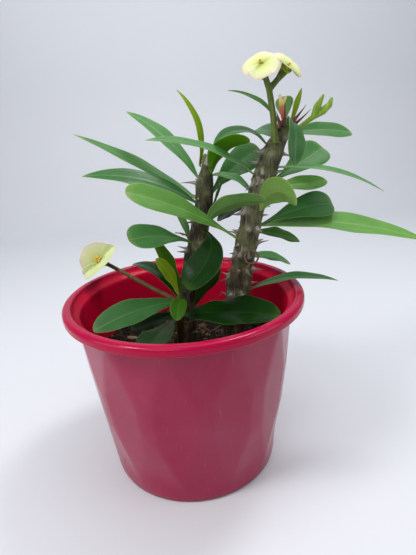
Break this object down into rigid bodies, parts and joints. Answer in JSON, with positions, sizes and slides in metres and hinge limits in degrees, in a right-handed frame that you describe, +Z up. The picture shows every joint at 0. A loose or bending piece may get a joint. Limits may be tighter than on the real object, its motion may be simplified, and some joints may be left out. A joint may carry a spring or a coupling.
{
  "type": "potted euphorbia",
  "caption": "Thorny flowering succulent with leathery leaves and pale yellow bracts, growing in a faceted round plastic nursery pot of dark potting mix.",
  "frame": {"origin": "centre of the flat underside of the pot", "axes": "+Z up along the pot's axis, -Y towards the viewer's side of the plant, +X towards the side that the thicker stem leans to"},
  "size_m": [0.2628, 0.175, 0.2941],
  "materials": {
    "pot": "crimson moulded plastic, glossy on the rim, slightly dusty on the faceted wall",
    "potting_mix": "dark damp potting mix with bark chips and fibres",
    "bark": "grey-brown woody bark with leaf scars, olive where it is young, and grey spines",
    "green_stem": "smooth olive-green stem, brownish along its lit side",
    "leaf": "mid-green leathery leaf, satin, with a pale midrib and margin",
    "young_leaf": "yellow-green young leaf, satin",
    "bract": "soft matte petal-like bract, creamy yellow with a pinkish edge",
    "cyathium": "orange-yellow waxy flower centre",
    "bud": "green bud with a paler tip, the youngest ones reddish",
    "withered": "dry curled straw-brown leaf"
  },
  "bodies": {
    "root": {"leaf_main_1": "leaf", "leaf_main_2": "leaf", "leaf_main_3": "leaf", "leaf_main_4": "leaf", "leaf_main_5": "leaf", "leaf_main_6": "leaf", "leaf_main_7": "leaf", "leaf_main_8": "leaf", "leaf_main_9": "leaf", "leaf_main_10": "leaf", "leaf_main_11": "leaf", "leaf_main_12": "leaf", "leaf_main_13": "leaf", "leaf_main_14": "leaf", "leaf_main_15": "leaf", "leaf_main_16": "leaf", "leaf_main_17": "leaf", "leaf_main_18": "leaf", "leaf_main_19": "young_leaf", "leaf_basal_7": "leaf", "leaf_left_2": "leaf", "leaf_left_3": "leaf", "leaf_left_4": "leaf", "leaf_left_5": "leaf", "leaf_left_6": "leaf", "leaf_left_7": "leaf", "leaf_left_8": "leaf", "leaf_left_9": "leaf", "leaf_left_10": "leaf", "leaf_left_11": "leaf", "leaf_left_12": "leaf", "leaf_left_13": "leaf", "leaf_left_15": "leaf", "leaf_left_14": "young_leaf", "leaf_basal_1": "leaf", "leaf_basal_2": "leaf", "leaf_basal_3": "leaf", "leaf_basal_4": "young_leaf", "leaf_basal_5": "leaf", "leaf_basal_6": "young_leaf", "flower_1_bract_a": "bract", "flower_1_bract_b": "bract", "flower_1_cyathium": "cyathium", "flower_2_bract_a": "bract", "flower_2_bract_b": "bract", "flower_2_cyathium": "cyathium", "flower_3_bract_a": "bract", "flower_3_bract_b": "bract", "flower_3_cyathium": "cyathium", "crown_flower_stalk": "green_stem", "rim_flower_stalk": "green_stem", "young_flower_cluster": "bud", "bud_pair": "bud", "withered_scrap": "withered", "main_stem": "bark", "left_stem": "bark", "basal_shoot": "green_stem", "pot": "pot", "potting_mix": "potting_mix"}
  },
  "joints": []
}
